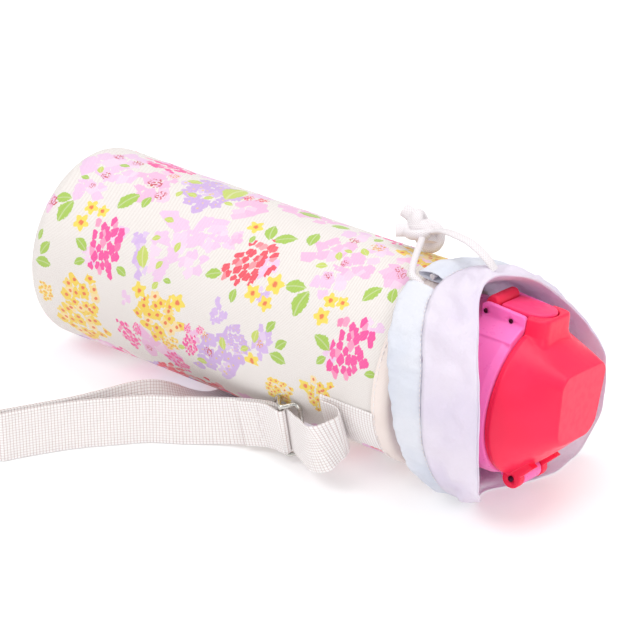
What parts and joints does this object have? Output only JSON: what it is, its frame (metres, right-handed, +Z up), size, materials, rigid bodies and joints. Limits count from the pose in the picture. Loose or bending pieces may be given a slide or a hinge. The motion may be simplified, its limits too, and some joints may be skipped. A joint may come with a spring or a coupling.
{
  "type": "insulated bottle pouch",
  "caption": "Soft insulated bottle pouch on its side, with a drawstring collar, an adjustable shoulder strap, and a drinking bottle with a flip lid inside.",
  "frame": {"origin": "centre of the pouch's flat base, on its outer face", "axes": "+X along the pouch from its base to the bottle's lid, +Z up, away from the surface that it lies on, so +Y is to the left of someone looking along +X"},
  "size_m": [0.277, 0.1955, 0.1127],
  "materials": {
    "floral_fabric": "cream twill with a scattered floral print",
    "foam": "soft white padding",
    "lining": "silvered reflective film on cloth",
    "binding": "cream bias tape",
    "nylon": "thin gathered nylon, slightly see-through",
    "nylon_hem": "folded hem of the same nylon",
    "cord": "braided cord",
    "webbing": "ribbed woven webbing",
    "steel": "plated wire",
    "steel_flask": "plain steel",
    "base_plastic": "matte",
    "cap_pink": "satin moulded plastic",
    "lid_pink": "satin moulded plastic",
    "button_pink": "satin moulded plastic",
    "lock_red": "satin moulded plastic",
    "pin": "dark",
    "silicone": "soft, matte",
    "spout_plastic": "smooth"
  },
  "bodies": {
    "pouch": {"outer_shell": "floral_fabric", "base_panel": "floral_fabric", "shell_foam": "foam", "base_foam": "foam", "lining": "lining", "lining_base": "lining", "mouth_binding": "binding", "collar_skirt": "nylon", "cord_channel": "nylon_hem", "drawstring": "cord", "drawstring_end_near": "cord", "drawstring_end_far": "cord", "drawstring_knot": "cord", "strap_webbing": "webbing", "strap_tab_near": "webbing", "strap_tab_far": "webbing", "strap_ring": "steel", "strap_slider": "steel"},
    "bottle": {"base_cover": "base_plastic", "flask_outer": "steel_flask", "flask_inner": "steel_flask", "neck_thread": "steel_flask"},
    "cap_lifter": {"cap_gasket": "silicone"},
    "cap_carrier": {"spout_gasket": "silicone"},
    "cap": {"cap_body": "cap_pink", "spout": "spout_plastic", "hinge_pin": "pin", "latch_pin": "pin", "lock_pin": "pin", "lid_spring": "steel", "latch_spring": "steel"},
    "lid": {"lid_shell": "lid_pink", "lid_seal": "silicone"},
    "button": {"latch_button": "button_pink"},
    "lock": {"lock_lever": "lock_red"}
  },
  "joints": [
    {"name": "bottle_slide", "type": "slide", "parent": "pouch", "child": "bottle", "axis": [1, 0, 0], "range_m": [0, 0.29], "deforming": ["collar_skirt", "cord_channel", "drawstring"]},
    {"name": "cap_pull", "type": "slide", "parent": "bottle", "child": "cap_lifter", "axis": [1, 0, 0], "range_m": [0, 0.045]},
    {"name": "cap_lift", "type": "slide", "parent": "cap_lifter", "child": "cap_carrier", "axis": [1, 0, 0], "range_m": [0, 0.00601]},
    {"name": "cap_turn", "type": "hinge", "parent": "cap_carrier", "child": "cap", "pos_m": [0.232, 0, 0], "axis": [1, 0, 0], "range_deg": [0, 540]},
    {"name": "lid_hinge", "type": "hinge", "parent": "cap", "child": "lid", "pos_m": [0.2552, -0.00717, -0.03375], "axis": [0, 0.9781, -0.2079], "range_deg": [0, 150]},
    {"name": "button_press", "type": "hinge", "parent": "cap", "child": "button", "pos_m": [0.2431, 0.00759, 0.0357], "axis": [0, -0.9781, 0.2079], "range_deg": [0, 6], "stiffness_Nm_per_rad": 0.06, "springref_deg": -5.73, "deforming": ["latch_spring"]},
    {"name": "lock_flip", "type": "hinge", "parent": "cap", "child": "lock", "pos_m": [0.23, 0.00775, 0.03648], "axis": [0, -0.9781, 0.2079], "range_deg": [0, 30]}
  ],
  "couplings": [
    {"joint": "cap_lift", "follows": "cap_turn", "m_per_rad": 0.00063662}
  ]
}
